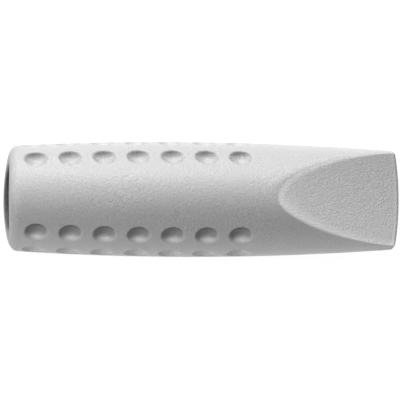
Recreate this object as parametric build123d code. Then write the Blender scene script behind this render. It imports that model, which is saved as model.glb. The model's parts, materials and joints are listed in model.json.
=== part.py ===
"""Pencil eraser topper: a soft-triangular rubber cap with a dimpled grip and a chisel tip.

The axis lies along X. The socket's mouth is at the origin and faces -X, the tip is at +X, one
rounded corner of the section is the ridge on top (+Z), and the face opposite it lies below.
"""

import os
from math import cos, degrees, radians, sin, sqrt

from build123d import *

# Overall form
LENGTH = 44.5
BELLY_WIDTH = 13.0
BELLY_AT = 19.5
SWELL_RADIUS = 317.0
CORNER_RADIUS = 4.5

# Pencil socket, a blind hole that stops short of the tip
SOCKET_DIAMETER = 7.2
SOCKET_END_WALL = 7.0
SOCKET_FLOOR_RADIUS = 0.8
MOUTH_LEAD_IN = 0.35
MOUTH_EDGE_RADIUS = 1.0

# Grip dimples, two rows on each face, as many in a row as the grip has room for. On the faces beside
# the ridge both rows sit a little away from it, past the middle of the face
FIRST_DIMPLE_AT = 3.05
DIMPLE_PITCH = 3.87
ROW_SPACING = 4.1
ROWS_OFF_RIDGE = 0.6
DIMPLE_LENGTH = 2.7
DIMPLE_DEPTH = 0.8
PLAIN_RING = 2.0

# Chisel tip, two dished facets that leave a blunt blade with a bowed end
CHISEL_LENGTH = 14.1
BLADE_TOP = 0.6
BLADE_THICKNESS = 2.6
BLADE_BOW = 0.5
FACET_DISH_RADIUS = 60.0
CHISEL_EDGE_RADIUS = 0.45

# The section is a triangle, with its corner arcs and face arcs taking turns
SIDES = 3
SIDE_ANGLE = 360 / SIDES
UP = 90
LOFT_SECTIONS = 7

# The most of the mouth's wall that each of its two rounded edges may take
EDGE_SHARE_OF_WALL = 0.6
LEAD_IN_SHARE_OF_WALL = 0.3

# How far cutters run past the body, and a span wider than it
CUT_MARGIN = 3.0
CUT_SPAN = 2 * BELLY_WIDTH

FACET_START = LENGTH - CHISEL_LENGTH
SOCKET_RADIUS = SOCKET_DIAMETER / 2


def width_at(x):
    """Width of the section at x, which swells along a circular arc to the belly."""
    return BELLY_WIDTH - 2 * (SWELL_RADIUS - sqrt(SWELL_RADIUS**2 - (x - BELLY_AT) ** 2))


def face_radius(x):
    """Radius of the three bowed faces at x."""
    return width_at(x) - CORNER_RADIUS


def corner_reach(x):
    """Distance at x from the axis to the centre of each corner arc."""
    return (width_at(x) - 2 * CORNER_RADIUS) / sqrt(3)


def ridge_height(x):
    """Height of the ridge above the axis at x."""
    return corner_reach(x) + CORNER_RADIUS


def across_axis(distance, angle):
    """Y and Z of a point at that distance from the axis."""
    return distance * cos(radians(angle)), distance * sin(radians(angle))


def section(x):
    """Soft triangle of constant width, square to the axis at x, with one corner up."""
    arc = SIDE_ANGLE / 2
    outline = Curve()
    for side in range(SIDES):
        corner = UP + side * SIDE_ANGLE
        opposite = corner - SIDE_ANGLE
        outline += CenterArc(across_axis(corner_reach(x), corner), CORNER_RADIUS, corner - arc / 2, arc)
        outline += CenterArc(across_axis(corner_reach(x), opposite), face_radius(x), corner + arc / 2, arc)
    square_to_axis = Plane(origin=(x, 0, 0), x_dir=(0, 1, 0), z_dir=(1, 0, 0))
    return square_to_axis * make_face(outline)


def barrel():
    """The swelling body, whole, from the mouth to a little past the tip."""
    step = (LENGTH + CUT_MARGIN) / (LOFT_SECTIONS - 1)
    return loft([section(i * step) for i in range(LOFT_SECTIONS)])


def facet_cutter(start, end, outward):
    """Cylinder that dishes a facet along the straight line from start to end."""
    run = end - start
    middle = (start + end) / 2 + outward * FACET_DISH_RADIUS
    along = Plane(origin=middle, x_dir=(0, 1, 0), z_dir=run.normalized())
    return along * Cylinder(FACET_DISH_RADIUS, run.length + 2 * CUT_MARGIN)


def chisel_cutters():
    """The upper facet, from the ridge to the blade, and the lower one at the same slope."""
    ridge = Vector(FACET_START, 0, ridge_height(FACET_START))
    blade_top = Vector(LENGTH, 0, BLADE_TOP)
    blade_bottom = Vector(LENGTH, 0, BLADE_TOP - BLADE_THICKNESS)
    fall = blade_top - ridge
    rise = Vector(fall.X, 0, -fall.Z)
    out = Vector(-fall.Z, 0, fall.X).normalized()
    upper = facet_cutter(ridge, blade_top, out)
    lower = facet_cutter(blade_bottom - rise, blade_bottom, Vector(out.X, 0, -out.Z))
    return [upper, lower]


def blade_end_cutter():
    """What lies beyond the blade's end, which is bowed in plan."""
    half = width_at(LENGTH) / 2
    bow_radius = (half**2 + BLADE_BOW**2) / (2 * BLADE_BOW)
    beyond = Pos(LENGTH, 0, 0) * Box(CUT_SPAN, CUT_SPAN, CUT_SPAN)
    return beyond - Pos(LENGTH - bow_radius, 0, 0) * Cylinder(bow_radius, CUT_SPAN)


def chiselled(body):
    """The body with its facets and blade end cut, and the edges between them rounded."""
    body = body - chisel_cutters() - blade_end_cutter()
    cut_faces = body.faces().filter_by(GeomType.CYLINDER)
    return fillet(cut_faces.edges(), CHISEL_EDGE_RADIUS)


def mouth_wall():
    """Thickness of the wall at the mouth, where a face comes nearest to the socket."""
    return face_radius(0) - corner_reach(0) - SOCKET_RADIUS


def with_rounded_mouth(body):
    """The body with the outer edge of its mouth rounded."""
    mouth = body.faces().sort_by(Axis.X)[0]
    return fillet(mouth.edges(), min(MOUTH_EDGE_RADIUS, EDGE_SHARE_OF_WALL * mouth_wall()))


def dimples_in_row():
    """How many dimples fit between the mouth and the plain ring before the facet."""
    room = FACET_START - PLAIN_RING - DIMPLE_LENGTH / 2 - FIRST_DIMPLE_AT
    return int(room / DIMPLE_PITCH) + 1


def seam_at():
    """Where sleeve and tip meet, midway between the last dimple and the facet."""
    last_dimple = FIRST_DIMPLE_AT + (dimples_in_row() - 1) * DIMPLE_PITCH
    return (last_dimple + DIMPLE_LENGTH / 2 + FACET_START) / 2


def socket():
    """The pencil's space: a round hole with a rounded floor, in from the mouth."""
    depth = seam_at() - SOCKET_END_WALL
    along_axis = Plane(origin=(depth, 0, 0), x_dir=(0, 1, 0), z_dir=(-1, 0, 0))
    hole = along_axis * Cylinder(
        SOCKET_RADIUS, depth + CUT_MARGIN, align=(Align.CENTER, Align.CENTER, Align.MIN)
    )
    floor_edge = hole.edges().filter_by(GeomType.CIRCLE).sort_by(Axis.X)[-1]
    return fillet(floor_edge, SOCKET_FLOOR_RADIUS)


def with_socket(body):
    """The body with the socket cut and the edge of its mouth eased as a lead-in."""
    body = body - socket()
    mouth = body.faces().filter_by(GeomType.PLANE).sort_by(Axis.X)[0]
    rim = mouth.inner_wires()[0].edges()
    return fillet(rim, min(MOUTH_LEAD_IN, LEAD_IN_SHARE_OF_WALL * mouth_wall()))


def dimple_cutter(x, face_middle, facing):
    """Sphere that presses one dimple square to the face, at x and at that facing."""
    half = DIMPLE_LENGTH / 2
    ball_radius = (half**2 + DIMPLE_DEPTH**2) / (2 * DIMPLE_DEPTH)
    back_y, back_z = across_axis(-corner_reach(x), face_middle)
    out_y, out_z = across_axis(face_radius(x) + ball_radius - DIMPLE_DEPTH, facing)
    centre = Vector(x, back_y + out_y, back_z + out_z)
    outward = (0, cos(radians(facing)), sin(radians(facing)))
    return Plane(origin=centre, x_dir=outward, z_dir=(1, 0, 0)) * Sphere(ball_radius)


def row_facings(side, x):
    """Facings at x of the two rows on one face: the near one, the one below or the far one, in turn."""
    face_middle = UP + (side + 0.5) * SIDE_ANGLE
    away_from_ridge = 1 - side
    rows_middle = face_middle + away_from_ridge * degrees(ROWS_OFF_RIDGE / face_radius(x))
    swing = degrees(ROW_SPACING / 2 / face_radius(x))
    return rows_middle - swing, rows_middle + swing


def dimple_cutters():
    """All the dimples, in two rows along each face."""
    cutters = []
    for side in range(SIDES):
        face_middle = UP + (side + 0.5) * SIDE_ANGLE
        for i in range(dimples_in_row()):
            x = FIRST_DIMPLE_AT + i * DIMPLE_PITCH
            for facing in row_facings(side, x):
                cutters.append(dimple_cutter(x, face_middle, facing))
    return cutters


def topper():
    """The whole cap."""
    body = with_socket(with_rounded_mouth(chiselled(barrel())))
    return body - dimple_cutters()


def main():
    """Part the cap at its seam and write each piece."""
    os.makedirs("parts", exist_ok=True)
    seam = Plane(origin=(seam_at(), 0, 0), z_dir=(1, 0, 0))
    cap = topper()
    export_step(split(cap, seam, keep=Keep.BOTTOM), "parts/grip_sleeve.step")
    export_step(split(cap, seam, keep=Keep.TOP), "parts/eraser_tip.step")


if __name__ == "__main__":
    main()
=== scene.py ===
"""Looks of the pencil eraser topper: a moulded cap with a dimpled grip and a chisel tip.

Everything is in metres, in the frame of the solids. The socket's mouth is at the origin and faces -X, the
chisel tip is at +X, and the plain ridge is on top. Directions across the axis are angles in the YZ plane,
counted from +Y, which is the far side, towards +Z.
"""

from __future__ import annotations

import json
import logging
from collections.abc import Callable, Iterator
from dataclasses import dataclass
from enum import Enum
from math import ceil, cos, inf, pi, radians, sin, sqrt, tau

import bpy
import numpy as np
from mathutils import Matrix, Vector

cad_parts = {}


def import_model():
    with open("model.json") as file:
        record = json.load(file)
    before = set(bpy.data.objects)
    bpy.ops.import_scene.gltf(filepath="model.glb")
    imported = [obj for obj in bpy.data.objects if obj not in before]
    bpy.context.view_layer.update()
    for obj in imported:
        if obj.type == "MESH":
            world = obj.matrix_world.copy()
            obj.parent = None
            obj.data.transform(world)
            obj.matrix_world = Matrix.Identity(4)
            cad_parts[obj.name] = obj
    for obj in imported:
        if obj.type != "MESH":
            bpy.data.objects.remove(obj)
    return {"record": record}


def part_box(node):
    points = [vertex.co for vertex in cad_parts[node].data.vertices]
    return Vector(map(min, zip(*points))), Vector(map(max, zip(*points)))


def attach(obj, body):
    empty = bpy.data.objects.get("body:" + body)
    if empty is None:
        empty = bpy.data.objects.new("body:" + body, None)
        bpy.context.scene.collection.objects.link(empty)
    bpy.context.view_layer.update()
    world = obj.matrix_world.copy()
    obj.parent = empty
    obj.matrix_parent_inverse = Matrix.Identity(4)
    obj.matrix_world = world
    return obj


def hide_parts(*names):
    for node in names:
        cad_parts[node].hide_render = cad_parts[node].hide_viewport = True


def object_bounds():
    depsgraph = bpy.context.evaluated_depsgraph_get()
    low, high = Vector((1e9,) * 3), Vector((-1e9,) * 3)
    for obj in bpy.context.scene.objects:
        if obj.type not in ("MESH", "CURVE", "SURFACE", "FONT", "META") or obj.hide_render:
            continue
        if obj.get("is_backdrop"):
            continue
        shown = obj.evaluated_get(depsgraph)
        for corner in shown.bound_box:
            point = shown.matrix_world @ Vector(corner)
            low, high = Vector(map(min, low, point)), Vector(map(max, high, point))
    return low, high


LOG = logging.getLogger("eraser_topper")
MM = 0.001

# The two solids, and the only body of a part with no joints
SLEEVE_NODE = "grip_sleeve"
TIP_NODE = "eraser_tip"
BODY = "root"

# The section is a triangle with one corner up
CORNERS = 3
CORNER_TURN = tau / CORNERS
UP = pi / 2

# Points closer together than this count as being at one place
SAME_PLACE = 0.001 * MM

# Faces that meet at more than this are shaded as a true corner
TRUE_CORNER = radians(50)

# Blender's numbers for what goes into a mix of two colours, and for what comes out of it
MIX_SHARE, MIX_FIRST, MIX_SECOND = 0, 6, 7
MIXED = 2

# Places of points, one row each; one number, or one for each point; and a yes or no for each point
Points = np.ndarray
Values = np.ndarray | float
Flags = np.ndarray


class Face(Enum):
    """The three bowed faces, by the direction that the middle of each one looks in."""

    FAR = radians(30)
    NEAR = radians(150)
    UNDER = radians(270)

    @property
    def away_from_ridge(self) -> int:
        """Way round the axis that leads away from the ridge, or 0 on the face opposite it."""
        return -round(cos(self.value))


class Mark(Enum):
    """Rubbing on the facets, and painted light and painted shade on the rubber, by the name of the mesh
    attribute that says how much of each there is.
    """

    RUBBED = "rubbed"
    # Painted light, which makes the rubber paler where light falls
    WORN = "worn"
    # Painted shade, which makes the rubber darker where shade falls
    SMUDGED = "smudged"


def ramp(values: Values, start: float, end: float) -> Values:
    """Shares that go from 0 to 1 as the values go from the start, up or down, to the end."""
    return np.clip((values - start) / (end - start), 0.0, 1.0)


def soft_step(depth: Values, softness: Values) -> Values:
    """Depth where it is positive and 0 elsewhere, eased over that softness on each side of zero."""
    eased = (depth + softness) ** 2 / (4 * softness)
    return np.where(depth > softness, depth, np.where(depth < -softness, 0.0, eased))


def across(angle: float) -> Points:
    """Direction square to the axis at that angle, of length 1."""
    return np.array([0.0, cos(angle), sin(angle)])


def linear(hex_colour: str) -> tuple[float, float, float, float]:
    """Linear RGBA of an sRGB hex colour.

    Args:
        hex_colour: Six hex digits after a hash sign.

    Returns:
        Red, green, blue and full alpha.
    """
    shares = [int(hex_colour[i : i + 2], 16) / 255 for i in (1, 3, 5)]
    red, green, blue = (s / 12.92 if s <= 0.04045 else ((s + 0.055) / 1.055) ** 2.4 for s in shares)
    return red, green, blue, 1.0


def add_node(
    tree: bpy.types.NodeTree, kind: str, inputs: dict[str | int, object] | None = None, **settings: object
) -> bpy.types.Node:
    """Add a node, set it up and link it.

    Args:
        tree: Node tree that the node goes into.
        kind: Blender's name of the node's type.
        inputs: A value, or another node's output, for each input by its name or number.
        settings: The node's own properties.

    Returns:
        The new node.
    """
    node = tree.nodes.new(kind)
    for name, value in settings.items():
        setattr(node, name, value)
    for key, value in (inputs or {}).items():
        if isinstance(value, bpy.types.NodeSocket):
            tree.links.new(value, node.inputs[key])
        else:
            node.inputs[key].default_value = value
    return node


def points_of(piece: bpy.types.Object) -> Points:
    """Places of all the points of a mesh.

    Args:
        piece: The mesh object, in object mode.

    Returns:
        One row of X, Y and Z for each point.
    """
    flat = np.empty(3 * len(piece.data.vertices))
    piece.data.vertices.foreach_get("co", flat)
    return flat.reshape(-1, 3)


def place_points(piece: bpy.types.Object, places: Points) -> None:
    """Put all the points of a mesh at new places."""
    piece.data.vertices.foreach_set("co", places.ravel())
    piece.data.update()


def select_edges(piece: bpy.types.Object, wanted: Callable[[Points, Points], Flags]) -> None:
    """Select the edges that are wanted and no others, and leave the piece in edit mode.

    Args:
        piece: The mesh object, which is the active one.
        wanted: Test of the places of the edges' first and second ends, one row for each edge.
    """
    bpy.ops.object.mode_set(mode="OBJECT")
    bpy.context.tool_settings.mesh_select_mode = (False, True, False)
    mesh = piece.data
    for elements in (mesh.vertices, mesh.polygons):
        elements.foreach_set("select", np.zeros(len(elements), bool))
    ends = np.empty(2 * len(mesh.edges), int)
    mesh.edges.foreach_get("vertices", ends)
    places = points_of(piece)[ends.reshape(-1, 2)]
    mesh.edges.foreach_set("select", wanted(places[:, 0], places[:, 1]))
    bpy.ops.object.mode_set(mode="EDIT")


def select_loop(piece: bpy.types.Object, x: float, radius: tuple[float, float] = (0.0, inf)) -> None:
    """Select the loop of edges that goes round the axis at x.

    Args:
        piece: The mesh object, which is the active one.
        x: Where on the axis the loop is.
        radius: Least and largest distance of the loop from the axis.
    """
    least, largest = radius

    def on_loop(places: Points) -> Flags:
        """Which of the places are on the loop.

        Args:
            places: The points to test.

        Returns:
            True for each point that is on the loop.
        """
        at_x = abs(places[:, 0] - x) < SAME_PLACE
        away = np.hypot(places[:, 1], places[:, 2])
        return at_x & (away > least - SAME_PLACE) & (away < largest + SAME_PLACE)

    select_edges(piece, lambda first, second: on_loop(first) & on_loop(second))


def draw_out(x: float) -> None:
    """Extrude what is selected by that far along the axis."""
    bpy.ops.mesh.extrude_region_move(TRANSFORM_OT_translate={"value": (x, 0, 0)})


def move_selected(piece: bpy.types.Object, change: Callable[[Points], Points]) -> None:
    """Move the selected points, and leave the piece in edit mode.

    Args:
        piece: The mesh object, which is the active one.
        change: Makes the points' new places from their old ones.
    """
    bpy.ops.object.mode_set(mode="OBJECT")
    chosen = np.empty(len(piece.data.vertices), bool)
    piece.data.vertices.foreach_get("select", chosen)
    places = points_of(piece)
    places[chosen] = change(places[chosen])
    place_points(piece, places)
    bpy.ops.object.mode_set(mode="EDIT")


def open_tube(
    name: str, start: float, end: float, radius: float, sides: int, step: float
) -> bpy.types.Object:
    """Add a tube along the axis, open at both ends and cut into rings.

    Args:
        name: Name of the new object.
        start: Where on the axis the tube begins.
        end: Where on the axis the tube ends.
        radius: Radius of the tube.
        sides: Number of points in each ring.
        step: Largest distance between two rings.

    Returns:
        The tube, in object mode.
    """
    bpy.ops.object.select_all(action="DESELECT")
    bpy.ops.mesh.primitive_cylinder_add(
        vertices=sides,
        radius=radius,
        depth=end - start,
        end_fill_type="NOTHING",
        location=((start + end) / 2, 0, 0),
        rotation=(0, pi / 2, 0),
    )
    bpy.ops.object.transform_apply()
    piece = bpy.context.object
    piece.name = name
    select_edges(piece, lambda first, second: abs(first[:, 0] - second[:, 0]) > step)
    bpy.ops.mesh.subdivide_edgering(number_cuts=ceil((end - start) / step) - 1)
    bpy.ops.object.mode_set(mode="OBJECT")
    return piece


def leave_mark(piece: bpy.types.Object, mark: Mark, amount: Values) -> None:
    """Note on each point of a mesh how much of a mark it bears, from 0 to 1."""
    noted = piece.data.attributes.new(mark.value, "FLOAT", "POINT")
    noted.data.foreach_set("value", np.clip(amount, 0.0, 1.0))


def finish_mesh() -> None:
    """Turn all faces of the active mesh outwards and shade it smooth, but for its true corners."""
    bpy.ops.object.mode_set(mode="EDIT")
    bpy.ops.mesh.select_all(action="SELECT")
    bpy.ops.mesh.normals_make_consistent(inside=False)
    bpy.ops.object.mode_set(mode="OBJECT")
    bpy.ops.object.shade_smooth_by_angle(angle=TRUE_CORNER)


@dataclass(frozen=True)
class SoftTriangle:
    """Section of the cap: a triangle of constant width with rounded corners, which swells to a belly."""

    belly_width: float
    belly_at: float = 19.5 * MM
    swell_radius: float = 317.0 * MM
    corner_radius: float = 4.5 * MM

    def width(self, x: Values) -> Values:
        """Width of the section at x."""
        drop = self.swell_radius - np.sqrt(self.swell_radius**2 - (x - self.belly_at) ** 2)
        return self.belly_width - 2 * drop

    def reach(self, x: Values) -> Values:
        """Distance at x from the axis to the centre of each corner's arc."""
        return (self.width(x) - 2 * self.corner_radius) / sqrt(3)

    def face_radius(self, x: Values) -> Values:
        """Radius at x of the three bowed faces."""
        return self.width(x) - self.corner_radius

    def skin(self, x: Values, angle: Values) -> Values:
        """Distance from the axis to the skin.

        Args:
            x: Places on the axis.
            angle: Directions across the axis.

        Returns:
            The distances, along a corner's arc or along the bowed face beside it.
        """
        off = abs((angle - UP + CORNER_TURN / 2) % CORNER_TURN - CORNER_TURN / 2)
        reach = self.reach(x)
        corner = reach * np.cos(off) + np.sqrt(self.corner_radius**2 - (reach * np.sin(off)) ** 2)
        back = reach * np.cos(off + CORNER_TURN)
        face = back + np.sqrt(back**2 - reach**2 + self.face_radius(x) ** 2)
        quarter = CORNER_TURN / 4
        meet = np.arctan2(self.corner_radius * sin(quarter), reach + self.corner_radius * cos(quarter))
        return np.where(off < meet, corner, face)

    def below_skin(self, places: Points) -> Values:
        """Depth of each of the points below the skin, towards the axis."""
        x, y, z = places.T
        return self.skin(x, np.arctan2(z, y)) - np.hypot(y, z)

    def mould(self, places: Points) -> Points:
        """Push points out from the axis, or in towards it, until they lie on the skin.

        Args:
            places: Points at any distance from the axis.

        Returns:
            Their places on the skin.
        """
        x, y, z = places.T
        angle = np.arctan2(z, y)
        out = self.skin(x, angle)
        return np.stack([x, out * np.cos(angle), out * np.sin(angle)], axis=1)


@dataclass(frozen=True)
class PaintedRamp:
    """A patch of painted shade or painted light that grows across a dimple, from nothing at one place to its
    most at another and beyond.

    Places count from -1 at one rim of the dimple to 1 at the other, the way round the axis that goes from the
    near face over the ridge to the far face.
    """

    most: float
    none_at: float
    most_at: float

    def amount(self, places: Values) -> Values:
        """Share of the surface that the mark covers at those places."""
        return self.most * ramp(places, self.none_at, self.most_at)


@dataclass(frozen=True)
class RowShading:
    """Painted shade and painted light in the dimples of one row, on the sides of each dimple where shade and
    light fall.

    Both fade out towards the rim, where the dimple is less deep than the depth given.
    """

    painted_shade: tuple[PaintedRamp, ...]
    painted_light: tuple[PaintedRamp, ...] = ()
    fade_depth: float = 0.15 * MM


# Painted shade and painted light in each row's dimples: the darker and paler patches lie to one side of each
# dimple, where shade and light fall
FAR_LOWER_ROW = RowShading(
    painted_shade=(PaintedRamp(most=0.3, none_at=0.3, most_at=-0.3),),
    painted_light=(PaintedRamp(most=0.3, none_at=0.4, most_at=0.7),),
)
FAR_UPPER_ROW = RowShading(
    painted_shade=(
        PaintedRamp(most=0.75, none_at=0.3, most_at=0.9),
        PaintedRamp(most=0.65, none_at=-0.3, most_at=-0.75),
    ),
)
NEAR_UPPER_ROW = RowShading(
    painted_shade=(
        PaintedRamp(most=0.52, none_at=-0.75, most_at=-0.35),
        PaintedRamp(most=0.25, none_at=0.2, most_at=0.8),
    ),
    painted_light=(PaintedRamp(most=0.9, none_at=-0.45, most_at=-0.8),),
    fade_depth=0.42 * MM,
)
NEAR_LOWER_ROW = RowShading(
    painted_shade=(PaintedRamp(most=0.52, none_at=-0.1, most_at=0.3),),
    painted_light=(PaintedRamp(most=1.0, none_at=-0.05, most_at=-0.35),),
)
UNDER_NEAR_ROW = RowShading(painted_shade=(PaintedRamp(most=0.4, none_at=-0.9, most_at=-0.5),))
UNDER_FAR_ROW = RowShading(painted_shade=(PaintedRamp(most=0.4, none_at=0.9, most_at=0.5),))

# The two rows of each face, in the order of the angles that they face
ROWS = {
    Face.FAR: (FAR_LOWER_ROW, FAR_UPPER_ROW),
    Face.NEAR: (NEAR_UPPER_ROW, NEAR_LOWER_ROW),
    Face.UNDER: (UNDER_NEAR_ROW, UNDER_FAR_ROW),
}


@dataclass(frozen=True)
class Dimples:
    """Shallow round dimples in two rows along each face, pressed square to it."""

    form: SoftTriangle
    first_at: float = 3.05 * MM
    pitch: float = 3.87 * MM
    in_row: int = 7
    row_spacing: float = 4.1 * MM
    rows_off_ridge: float = 0.6 * MM
    length: float = 2.7 * MM
    depth: float = 0.8 * MM
    rim_softness: float = 0.05 * MM

    @property
    def ball(self) -> float:
        """Radius of the ball that presses a dimple."""
        return ((self.length / 2) ** 2 + self.depth**2) / (2 * self.depth)

    def sites(self) -> Iterator[tuple[Points, float, RowShading]]:
        """Go through the dimples, face by face.

        Yields:
            Where the centre of a dimple's ball is, the direction that the dimple faces, and its painted shade
            and light.
        """
        for face in Face:
            for i in range(self.in_row):
                x = self.first_at + i * self.pitch
                radius = self.form.face_radius(x)
                back = np.array([x, 0.0, 0.0]) - self.form.reach(x) * across(face.value)
                rows_middle = face.value + face.away_from_ridge * self.rows_off_ridge / radius
                swing = self.row_spacing / 2 / radius
                for facing, marks in zip((rows_middle - swing, rows_middle + swing), ROWS[face]):
                    yield back + (radius + self.ball - self.depth) * across(facing), facing, marks

    def press(self, places: Points) -> Points:
        """Press all the dimples into points on the skin.

        Args:
            places: Points on the skin.

        Returns:
            Their places, with those in a dimple pushed inwards.
        """
        pressed = places.copy()
        for centre, facing, _ in self.sites():
            away = places - centre
            # Points further away than the dimple is long are well clear of its ball
            near = np.flatnonzero(np.linalg.norm(away, axis=1) < self.length)
            along = away[near] @ across(facing)
            aside = np.sum(away[near] ** 2, axis=1) - along**2
            under = np.sqrt(np.maximum(self.ball**2 - aside, 0.0))
            pressed[near] -= soft_step(along + under, self.rim_softness)[:, None] * across(facing)
        return pressed

    def paint_shading(self, places: Points) -> tuple[Values, Values]:
        """How much painted shade and how much painted light there is in the dimples.

        Args:
            places: Points on the pressed skin.

        Returns:
            The share of painted shade and the share of painted light at each point, both 0 outside the
            dimples.
        """
        deep = self.form.below_skin(places)
        painted_shade = np.zeros(len(places))
        painted_light = np.zeros(len(places))
        for centre, facing, marks in self.sites():
            away = places - centre
            inside = np.linalg.norm(away, axis=1) < self.ball + self.rim_softness
            share = away[inside] @ across(facing - UP) / (self.length / 2)
            fade = ramp(deep[inside], 0.0, marks.fade_depth)
            painted_shade[inside] = fade * sum(stain.amount(share) for stain in marks.painted_shade)
            painted_light[inside] = fade * sum(stain.amount(share) for stain in marks.painted_light)
        return painted_shade, painted_light


@dataclass(frozen=True)
class PaintedLowLight:
    """Painted light, which makes the lower skin paler: it grows downwards, and towards the near side."""

    # There is none above one height, and it grows down to another, but only to its most
    none_above: float = 5.0 * MM
    all_below: float = -1.0 * MM
    most: float = 0.65
    # Across the axis it grows from the far limit to the near one, but is never below the far share
    far_limit: float = 3.0 * MM
    near_limit: float = -2.0 * MM
    far_share: float = 0.25

    def amount(self, places: Points) -> Values:
        """Share of the skin that is rubbed pale at those places.

        Args:
            places: Points on the skin.

        Returns:
            The shares, from 0 to 1.
        """
        _, y, z = places.T
        low = np.minimum(ramp(z, self.none_above, self.all_below), self.most)
        return low * np.maximum(ramp(y, self.far_limit, self.near_limit), self.far_share)


@dataclass(frozen=True)
class MouldedVinyl:
    """Vinyl eraser rubber, moulded in a fine spark-eroded tool and left as it comes out.

    The eye sees a dull, even grey with a fine grain and a faint mottle. The facets that rub are paler. Light
    is painted on the lower skin, more towards the near side, on the facets' near edges and on parts of some
    dimples; shade is painted on other parts of the dimples, on the socket's wall and on the facets towards
    the blade's end.
    """

    name: str = "moulded_vinyl_rubber"
    grey: str = "#BDBDBD"
    shade: str = "#A8A8A8"
    chalk: str = "#D0D0D0"
    rubbed: str = "#E6E6E6"
    rubbed_shade: str = "#D2D2D2"
    # Colours of the painted light and of the painted shade
    painted_light: str = "#F4F4F4"
    smudge: str = "#3C3C3C"
    # The tool's grain is about 0.1 mm wide; it is drawn twice as wide, to show in the render
    grain_width: float = 0.2 * MM
    grain_height: float = 0.035 * MM
    cloud_width: float = 5.0 * MM
    # Both patterns have finer detail in them, and their middle range is spread to the full one
    pattern_detail: float = 2.0
    pattern_roughness: float = 0.6
    pattern_range: tuple[float, float] = (0.3, 0.7)
    roughness: float = 0.42
    roughness_swing: float = 0.05
    ior: float = 1.5

    def material(self) -> bpy.types.Material:
        """Make the material.

        Returns:
            The new material.
        """
        made = bpy.data.materials.new(self.name)
        made.use_nodes = True
        tree = made.node_tree
        tree.nodes.clear()
        grain, cloud = self._patterns(tree)
        dullness = add_node(
            tree,
            "ShaderNodeMapRange",
            {
                "Value": grain,
                "To Min": self.roughness - self.roughness_swing,
                "To Max": self.roughness + self.roughness_swing,
            },
        )
        relief = add_node(
            tree, "ShaderNodeBump", {"Height": grain, "Strength": 1.0, "Distance": self.grain_height}
        )
        rubber = add_node(
            tree,
            "ShaderNodeBsdfPrincipled",
            {
                "Base Color": self._colour(tree, grain, cloud),
                "Roughness": dullness.outputs["Result"],
                "IOR": self.ior,
                "Normal": relief.outputs["Normal"],
            },
        )
        add_node(tree, "ShaderNodeOutputMaterial", {"Surface": rubber.outputs["BSDF"]})
        return made

    def _patterns(self, tree: bpy.types.NodeTree) -> list[bpy.types.NodeSocket]:
        """Add the patterns of the surface.

        Args:
            tree: Node tree of the material.

        Returns:
            The strengths of the tool's grain and of the wider clouds in the colour.
        """
        place = add_node(tree, "ShaderNodeTexCoord").outputs["Object"]
        low, high = self.pattern_range
        strengths = []
        for width in (self.grain_width, self.cloud_width):
            noise = add_node(
                tree,
                "ShaderNodeTexNoise",
                {
                    "Vector": place,
                    "Scale": 1 / width,
                    "Detail": self.pattern_detail,
                    "Roughness": self.pattern_roughness,
                },
            )
            spread = add_node(
                tree,
                "ShaderNodeMapRange",
                {"Value": noise.outputs["Fac"], "From Min": low, "From Max": high},
            )
            strengths.append(spread.outputs["Result"])
        return strengths

    def _colour(
        self, tree: bpy.types.NodeTree, grain: bpy.types.NodeSocket, cloud: bpy.types.NodeSocket
    ) -> bpy.types.NodeSocket:
        """Add the colour of the rubber, with the rubbed facets, the painted light and the painted shade over
        it.

        Args:
            tree: Node tree of the material.
            grain: Strength of the tool's grain.
            cloud: Strength of the wider clouds.

        Returns:
            The colour.
        """
        mottled = []
        for dark, light in ((self.shade, self.chalk), (self.rubbed_shade, self.rubbed)):
            mix = add_node(
                tree,
                "ShaderNodeMix",
                {MIX_SHARE: grain, MIX_FIRST: linear(dark), MIX_SECOND: linear(light)},
                data_type="RGBA",
            )
            mottled.append(mix.outputs[MIXED])
        colour, pale = mottled
        marks = {Mark.RUBBED: pale, Mark.WORN: linear(self.painted_light), Mark.SMUDGED: linear(self.smudge)}
        layers = [(cloud, linear(self.grey))]
        for mark, over in marks.items():
            amount = add_node(tree, "ShaderNodeAttribute", attribute_name=mark.value).outputs["Fac"]
            layers.append((amount, over))
        for share, over in layers:
            mix = add_node(
                tree,
                "ShaderNodeMix",
                {MIX_SHARE: share, MIX_FIRST: colour, MIX_SECOND: over},
                data_type="RGBA",
            )
            colour = mix.outputs[MIXED]
        return colour


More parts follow.
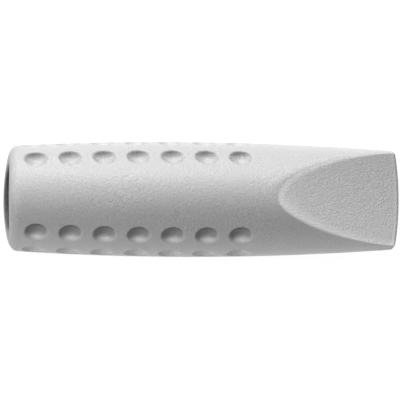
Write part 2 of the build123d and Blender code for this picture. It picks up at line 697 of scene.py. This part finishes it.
@dataclass(frozen=True)
class MattPaper:
    """Uncoated white paper, rolled smooth, which covers the table.

    The eye sees a plain white with no gloss, on which only the cap's soft shadow shows.
    """

    name: str = "matt_white_paper"
    # Colour to the camera, and a darker one for the light that the paper throws back on the cap
    white: str = "#F2F2F2"
    thrown_back: str = "#C0C0C0"
    # Glow of the paper: its share of what the camera sees, its strength, and how much reflections show of it
    glow_share: float = 0.8
    glow_strength: float = 1.14
    glow_in_reflections: float = 0.85

    def material(self) -> bpy.types.Material:
        """Make the material.

        Returns:
            The new material.
        """
        made = bpy.data.materials.new(self.name)
        made.use_nodes = True
        tree = made.node_tree
        tree.nodes.clear()
        rays = add_node(tree, "ShaderNodeLightPath").outputs
        shown = add_node(
            tree,
            "ShaderNodeMix",
            {
                MIX_SHARE: rays["Is Camera Ray"],
                MIX_FIRST: linear(self.thrown_back),
                MIX_SECOND: linear(self.white),
            },
            data_type="RGBA",
        )
        dull = add_node(tree, "ShaderNodeBsdfDiffuse", {"Color": shown.outputs[MIXED]})
        glow = add_node(tree, "ShaderNodeEmission", {"Strength": self.glow_strength})
        looking = add_node(
            tree,
            "ShaderNodeMath",
            {0: rays["Is Glossy Ray"], 1: self.glow_in_reflections, 2: rays["Is Camera Ray"]},
            operation="MULTIPLY_ADD",
        )
        share = add_node(
            tree,
            "ShaderNodeMapRange",
            {"Value": looking.outputs["Value"], "To Min": 0.0, "To Max": self.glow_share},
        )
        surface = add_node(
            tree,
            "ShaderNodeMixShader",
            {0: share.outputs["Result"], 1: dull.outputs["BSDF"], 2: glow.outputs["Emission"]},
        )
        add_node(tree, "ShaderNodeOutputMaterial", {"Surface": surface.outputs["Shader"]})
        return made


@dataclass
class GripSleeve:
    """Hollow, dimpled body of the cap, with the socket that a pencil's end is pushed into."""

    form: SoftTriangle
    end: float
    socket_radius: float
    wall_length: float
    mouth_edge_radius: float = 1.0 * MM
    lead_in: float = 0.35 * MM
    floor_radius: float = 0.8 * MM
    # The mouth is bowed in plan with this radius, and the bow dies out over this length
    mouth_bow_radius: float = 34.0 * MM
    mouth_bow_length: float = 1.7 * MM
    # Share of the painted shade on the socket's wall that is left at the outer edge of the lead-in
    shade_left_at_mouth: float = 0.4
    # Where beyond the mouth the painted light on the lower skin begins, and where it has its full strength
    low_light_from: float = 0.5 * MM
    low_light_full_from: float = 1.5 * MM
    sides: int = 324
    step: float = 0.13 * MM
    round_steps: int = 8

    @property
    def socket_depth(self) -> float:
        """Depth of the socket's floor below the mouth."""
        return self.lead_in + self.wall_length + self.floor_radius

    @property
    def dimples(self) -> Dimples:
        """The dimples of the grip."""
        return Dimples(self.form)

    def build(self) -> bpy.types.Object:
        """Model the sleeve.

        Returns:
            The finished mesh object.
        """
        plain_end = self.mouth_edge_radius + self.step
        piece = open_tube(
            "grip_sleeve_rubber", plain_end, self.end, self.form.belly_width / 2, self.sides, self.step
        )
        select_loop(piece, plain_end)
        draw_out(-plain_end)
        bpy.ops.object.mode_set(mode="OBJECT")
        place_points(piece, self.dimples.press(self.form.mould(points_of(piece))))
        self._open_socket(piece)
        self._round_mouth(piece)
        self._bow_mouth(piece)
        select_loop(piece, self.end)
        bpy.ops.mesh.edge_face_add()
        finish_mesh()
        return piece

    def _open_socket(self, piece: bpy.types.Object) -> None:
        """Fold the mouth's edge in to the socket, and draw the socket's wall in to its floor.

        Args:
            piece: The sleeve, open at both ends.
        """

        def to_wall(places: Points) -> Points:
            """Draw points in towards the axis, as far as the socket's wall."""
            shrink = self.socket_radius / np.hypot(places[:, 1], places[:, 2])
            return places * np.stack([np.ones_like(shrink), shrink, shrink], axis=1)

        select_loop(piece, 0.0)
        draw_out(0.0)
        move_selected(piece, to_wall)
        draw_out(self.socket_depth)
        bpy.ops.mesh.edge_face_add()

    def _round_mouth(self, piece: bpy.types.Object) -> None:
        """Round the mouth's outer edge, its lead-in and the corner of the socket's floor.

        Args:
            piece: The sleeve with its socket, in edit mode.
        """
        at_wall = (self.socket_radius, self.socket_radius)
        beyond_wall = (self.socket_radius + self.lead_in, self.form.belly_width)
        rounded = (
            (0.0, beyond_wall, self.mouth_edge_radius),
            (0.0, at_wall, self.lead_in),
            (self.socket_depth, at_wall, self.floor_radius),
        )
        for x, distance, radius in rounded:
            select_loop(piece, x, distance)
            bpy.ops.mesh.bevel(offset=radius, offset_type="OFFSET", segments=self.round_steps)

    def _bow_mouth(self, piece: bpy.types.Object) -> None:
        """Let the mouth's edge fall back a little at its sides, so that it is bowed in plan.

        Args:
            piece: The sleeve with its rounded mouth, in edit mode.
        """
        bpy.ops.object.mode_set(mode="OBJECT")
        places = points_of(piece)
        x, y, _ = places.T
        places[:, 0] = x + ramp(x, self.mouth_bow_length, 0.0) * y**2 / (2 * self.mouth_bow_radius)
        place_points(piece, places)

    def dress(self, piece: bpy.types.Object, rubber: bpy.types.Material) -> None:
        """Give the sleeve its finish, and let it ride on its body in place of its solid.

        Args:
            piece: The sleeve's mesh object.
            rubber: Finish of the rubber.
        """
        places = points_of(piece)
        x, y, z = places.T
        away = np.hypot(y, z)
        mouth_radius = self.socket_radius + self.lead_in
        # Painted shade and painted light in the dimples
        painted_shade, painted_light = self.dimples.paint_shading(places)
        # Painted shade on the socket's wall, thinning out over the lead-in
        socket_shade = 1.0 - (1.0 - self.shade_left_at_mouth) * ramp(away, self.socket_radius, mouth_radius)
        leave_mark(piece, Mark.SMUDGED, np.where(away < mouth_radius + SAME_PLACE, socket_shade, painted_shade))
        # Painted light on the lower skin, growing towards the near side
        low_light = PaintedLowLight().amount(places) * ramp(x, self.low_light_from, self.low_light_full_from)
        leave_mark(piece, Mark.WORN, np.maximum(low_light, painted_light))
        piece.data.materials.append(rubber)
        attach(piece, BODY)
        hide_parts(SLEEVE_NODE)


@dataclass
class EraserTip:
    """Solid nib of the cap: two dished facets that leave a blunt blade with a bowed end."""

    form: SoftTriangle
    start: float
    end: float
    chisel_length: float = 14.1 * MM
    blade_top: float = 0.6 * MM
    blade_thickness: float = 2.6 * MM
    blade_bow: float = 0.5 * MM
    dish_radius: float = 60.0 * MM
    edge_radius: float = 0.45 * MM
    # The facets' far edges are worn rounder than the near ones, and the change takes this width
    near_edge_softness: float = 0.18 * MM
    far_edge_softness: float = 0.5 * MM
    edge_change: float = 3.0 * MM
    # Where the rubbed surface begins and where it is whole, counted outwards from the facet
    rubbed_from: float = -0.145 * MM
    rubbed_to: float = -0.045 * MM
    # Share of painted shade on the facets at the blade's end, which grows from none at their start
    facet_shade: float = 0.06
    # Painted highlight along the facets' near edges: its strength, its width, and the width over which it
    # dies out towards the far side
    rim_highlight: float = 0.9
    rim_highlight_width: float = 0.9 * MM
    rim_highlight_change: float = 2.0 * MM
    sides: int = 324
    step: float = 0.13 * MM
    round_steps: int = 6

    @property
    def facet_start(self) -> float:
        """Where on the axis the upper facet leaves the ridge."""
        return self.end - self.chisel_length

    def build(self) -> bpy.types.Object:
        """Model the tip.

        Returns:
            The finished mesh object.
        """
        shoulder = self.end - self.edge_radius
        piece = open_tube(
            "eraser_tip_rubber", self.start, shoulder, self.form.belly_width / 2, self.sides, self.step
        )
        bowed = self._bow(self.form.mould(points_of(piece)))
        places = self._cut(self.form.mould(bowed))
        place_points(piece, places)
        self._round_end(piece, places[:, 0] > self._bow_at(places, shoulder) - SAME_PLACE)
        select_loop(piece, self.start)
        bpy.ops.mesh.edge_face_add()
        finish_mesh()
        return piece

    def _bow_at(self, places: Points, x: Values) -> Values:
        """Where a bowed ring passes each of the points.

        Args:
            places: The points.
            x: Where on the axis the ring is, for each point or for all of them.

        Returns:
            The X of the ring beside each point.
        """
        half = self.form.width(self.end) / 2
        bow_radius = (half**2 + self.blade_bow**2) / (2 * self.blade_bow)
        return x - ramp(x, self.facet_start, self.end) * places[:, 1] ** 2 / (2 * bow_radius)

    def _bow(self, places: Points) -> Points:
        """Bow the rings more and more from the facet's start to the blade's end.

        Args:
            places: Points in plain rings.

        Returns:
            Their places in bowed rings.
        """
        bowed = places.copy()
        bowed[:, 0] = self._bow_at(places, places[:, 0])
        return bowed

    def _facets(self, places: Points) -> tuple[Values, Values]:
        """Heights of the two facets.

        Args:
            places: The points above or below which the heights are wanted.

        Returns:
            The Z of the upper facet and of the lower one at each point.
        """
        x, y, _ = places.T
        ridge = self.form.skin(self.facet_start, UP)
        fall = (ridge - self.blade_top) / self.chisel_length
        dish = (self.dish_radius - np.sqrt(self.dish_radius**2 - y**2)) * sqrt(1 + fall**2)
        rise = fall * (self.end - x) + dish
        return self.blade_top + rise, self.blade_top - self.blade_thickness - rise

    def _edge_softness(self, places: Points) -> Values:
        """Softness of the facets' edges beside each of the points."""
        to_far_side = ramp(places[:, 1], -self.edge_change / 2, self.edge_change / 2)
        return self.near_edge_softness + to_far_side * (self.far_edge_softness - self.near_edge_softness)

    def _cut(self, places: Points) -> Points:
        """Press points that stand above the upper facet, or below the lower one, on to it.

        Args:
            places: Points on the skin.

        Returns:
            Their places on the skin or on a facet.
        """
        upper, lower = self._facets(places)
        softness = self._edge_softness(places)
        cut = places.copy()
        cut[:, 2] -= soft_step(cut[:, 2] - upper, softness)
        cut[:, 2] += soft_step(lower - cut[:, 2], softness)
        return cut

    def _round_end(self, piece: bpy.types.Object, at_end: Flags) -> None:
        """Round the edge of the blade's end and close it.

        Args:
            piece: The tip, in object mode.
            at_end: Which of its points are on the last ring.
        """
        half_thickness = self.blade_thickness / 2
        spine_end = self.form.width(self.end) / 2 - half_thickness
        spine_height = self.blade_top - half_thickness
        bpy.context.tool_settings.mesh_select_mode = (True, False, False)
        for elements in (piece.data.edges, piece.data.polygons):
            elements.foreach_set("select", np.zeros(len(elements), bool))
        piece.data.vertices.foreach_set("select", at_end)
        bpy.ops.object.mode_set(mode="EDIT")

        for i in range(self.round_steps):
            before, after = (k / self.round_steps * pi / 2 for k in (i, i + 1))
            inwards = self.edge_radius * (cos(before) - cos(after))

            def draw_in(places: Points, by: float = inwards) -> Points:
                """Move points towards the blade's spine.

                Args:
                    places: The points.
                    by: How far they move.

                Returns:
                    Their new places.
                """
                spine = places.copy()
                spine[:, 1] = np.clip(places[:, 1], -spine_end, spine_end)
                spine[:, 2] = spine_height
                way = spine - places
                return places + way * (by / np.linalg.norm(way, axis=1))[:, None]

            draw_out(self.edge_radius * (sin(after) - sin(before)))
            move_selected(piece, draw_in)
        bpy.ops.mesh.fill(use_beauty=True)

    def dress(self, piece: bpy.types.Object, rubber: bpy.types.Material) -> None:
        """Give the tip its finish, and let it ride on its body in place of its solid.

        Args:
            piece: The tip's mesh object.
            rubber: Finish of the rubber.
        """
        places = points_of(piece)
        x, y, z = places.T
        upper, lower = self._facets(places)
        on_facet = ramp(np.maximum(z - upper, lower - z), self.rubbed_from, self.rubbed_to)
        leave_mark(piece, Mark.RUBBED, on_facet)
        # Painted shade on the facets, growing towards the blade's end
        leave_mark(piece, Mark.SMUDGED, self.facet_shade * on_facet * ramp(x, self.facet_start, self.end))
        # Painted highlight along the facets' near edges
        rim_highlight_mask = ramp(self.form.below_skin(places), self.rim_highlight_width, 0.0)
        rim_highlight_mask *= ramp(y, self.rim_highlight_change / 2, -self.rim_highlight_change / 2)
        # Painted light on the lower skin, as on the sleeve
        low_light = PaintedLowLight().amount(places) * (1.0 - on_facet)
        leave_mark(piece, Mark.WORN, np.maximum(self.rim_highlight * rim_highlight_mask * on_facet, low_light))
        piece.data.materials.append(rubber)
        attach(piece, BODY)
        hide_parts(TIP_NODE)


@dataclass(frozen=True)
class Softbox:
    """A soft lamp, which hangs in a direction from what it is aimed at. Its power is in watts."""

    name: str
    direction: tuple[float, float, float]
    size: tuple[float, float]
    power: float
    distance: float = 0.6

    def place(self, target: Vector) -> None:
        """Hang the lamp and aim it.

        Args:
            target: The point that it is aimed at.
        """
        data = bpy.data.lights.new(self.name, "AREA")
        data.shape = "RECTANGLE"
        data.size, data.size_y = self.size
        data.energy = self.power
        lamp = bpy.data.objects.new(self.name, data)
        bpy.context.scene.collection.objects.link(lamp)
        away = Vector(self.direction).normalized()
        lamp.location = target + self.distance * away
        lamp.rotation_euler = away.to_track_quat("Z", "Y").to_euler()
        lamp.visible_camera = False


@dataclass
class Studio:
    """Pale table, soft lamps and the camera, which looks down on the cap as it lies."""

    low: Vector
    high: Vector
    lamps: tuple[Softbox, ...] = (
        Softbox("key_lamp", direction=(-0.12, 0.94, 0.32), size=(0.3, 0.4), power=4.05),
        Softbox("top_lamp", direction=(-0.56, 0.15, 0.81), size=(0.2, 0.2), power=1.15),
        Softbox("near_lamp", direction=(-0.50, -0.45, 0.74), size=(0.2, 0.2), power=1.15),
        Softbox("tip_lamp", direction=(0.60, 0.05, 0.75), size=(0.2, 0.2), power=0.3),
    )
    # A faint sheet of light that shines up from just above the table
    light_pad: Softbox = Softbox(
        "light_pad", direction=(0, 0, -1), size=(40 * MM, 26 * MM), power=0.0012, distance=0.0
    )
    pad_height: float = 0.1 * MM
    # Strength of the light from the room's walls, of which 1 would be white
    room_light: float = 0.02
    floor_size: float = 4.0
    paper: MattPaper = MattPaper()
    # The camera stands a little towards the mouth and towards the near side
    lean_to_mouth: float = radians(4.8)
    lean_to_near: float = radians(4.2)
    camera_distance: float = 1.8
    view_width: float = 45.2 * MM
    # Blender takes the width of the sensor, and so the lens, in millimetres
    sensor: float = 36.0
    # Where the middle of the picture falls, counted to the right and upwards from the mouth's centre
    view_right: float = 21.89 * MM
    view_up: float = -0.26 * MM

    def build(self) -> None:
        """Set up the whole studio."""
        self._hang_lamps()
        self._light_room()
        self._lay_floor()
        self._set_camera()
        bpy.context.scene.view_settings.view_transform = "Standard"

    def _hang_lamps(self) -> None:
        """Hang the lamps round the cap and lay the light pad under it."""
        middle = (self.low + self.high) / 2
        for lamp in self.lamps:
            lamp.place(middle)
        self.light_pad.place(Vector((middle.x, middle.y, self.low.z + self.pad_height)))

    def _light_room(self) -> None:
        """Light the room faintly and evenly, with walls that are white to the camera."""
        world = bpy.data.worlds.new("white_room")
        bpy.context.scene.world = world
        world.use_nodes = True
        tree = world.node_tree
        tree.nodes.clear()
        seen = add_node(tree, "ShaderNodeLightPath").outputs["Is Camera Ray"]
        strength = add_node(
            tree, "ShaderNodeMapRange", {"Value": seen, "To Min": self.room_light, "To Max": 1.0}
        )
        room = add_node(tree, "ShaderNodeBackground", {"Strength": strength.outputs["Result"]})
        add_node(tree, "ShaderNodeOutputWorld", {"Surface": room.outputs["Background"]})

    def _lay_floor(self) -> None:
        """Lay the table under the cap."""
        bpy.ops.object.select_all(action="DESELECT")
        bpy.ops.mesh.primitive_plane_add(size=self.floor_size, location=(0, 0, self.low.z))
        floor = bpy.context.object
        floor.name = "table"
        floor.data.materials.append(self.paper.material())
        floor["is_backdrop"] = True

    def _set_camera(self) -> None:
        """Set the camera above the cap, with the mouth at the left of the picture."""
        right = Vector((cos(self.lean_to_mouth), 0.0, sin(self.lean_to_mouth)))
        back = Vector(
            (
                -sin(self.lean_to_mouth) * cos(self.lean_to_near),
                -sin(self.lean_to_near),
                cos(self.lean_to_mouth) * cos(self.lean_to_near),
            )
        )
        up = back.cross(right)
        data = bpy.data.cameras.new("camera")
        data.sensor_width = self.sensor
        data.lens = self.sensor * self.camera_distance / self.view_width
        camera = bpy.data.objects.new("camera", data)
        bpy.context.scene.collection.objects.link(camera)
        aim = self.view_right * right + self.view_up * up
        turned = Matrix((right, up, back)).transposed().to_4x4()
        camera.matrix_world = Matrix.Translation(aim + self.camera_distance * back) @ turned
        bpy.context.scene.camera = camera


def main() -> None:
    """Build the cap around the solids, dress it and set up the studio."""
    logging.basicConfig(level=logging.INFO, format="%(name)s: %(message)s")
    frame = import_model()
    solid_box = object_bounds()
    sleeve_low, sleeve_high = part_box(SLEEVE_NODE)
    tip_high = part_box(TIP_NODE)[1]
    mounts = {mount["name"]: mount for mount in frame["record"]["mounts"]}
    socket = mounts["pencil_socket"]

    form = SoftTriangle(belly_width=sleeve_high.y - sleeve_low.y)
    rubber = MouldedVinyl().material()

    sleeve = GripSleeve(
        form=form,
        end=sleeve_high.x,
        socket_radius=socket["dims"]["r_mm"] * MM,
        wall_length=socket["dims"]["length_mm"] * MM,
    )
    sleeve_piece = sleeve.build()
    sleeve.dress(sleeve_piece, rubber)
    tip = EraserTip(form=form, start=sleeve_high.x, end=tip_high.x)
    tip_piece = tip.build()
    tip.dress(tip_piece, rubber)
    for piece in (sleeve_piece, tip_piece):
        LOG.info("%s has %d faces", piece.name, len(piece.data.polygons))

    Studio(*solid_box).build()


if __name__ == "__main__":
    main()
